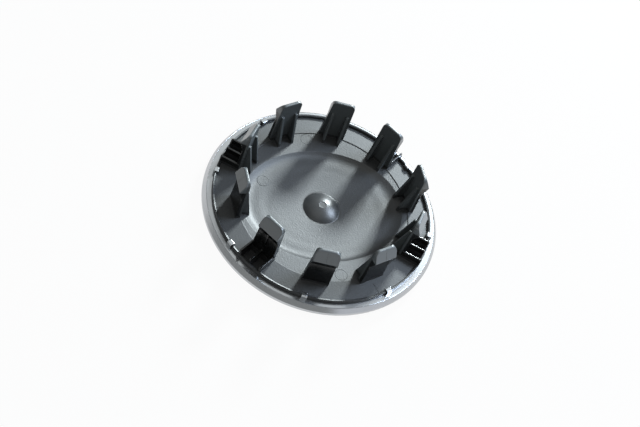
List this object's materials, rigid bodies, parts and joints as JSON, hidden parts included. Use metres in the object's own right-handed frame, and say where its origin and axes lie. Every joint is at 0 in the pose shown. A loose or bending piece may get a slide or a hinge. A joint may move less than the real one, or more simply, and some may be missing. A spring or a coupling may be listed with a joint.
{
  "type": "wheel centre cap",
  "caption": "Round wheel centre cap: a moulded carrier with a ring of hooked spring clips, a thin lip and a sunken oval floor panel, in a drawn metal cover whose rolled edge and tabs hold it.",
  "frame": {"origin": "middle of the flat land on the front face, on the cap's axis, at its lowest point as it lies face down", "axes": "+Z along the cap's axis from the front face towards the clips, +X along the middle of a plain clip"},
  "size_m": [0.0654, 0.0654, 0.0183],
  "materials": {
    "cap_body": "satin dark grey glass-filled polyamide, injection moulded",
    "front_cover": "satin silver base coat on drawn aluminium"
  },
  "bodies": {
    "root": {"cap_body": "cap_body", "front_cover": "front_cover"}
  },
  "joints": []
}
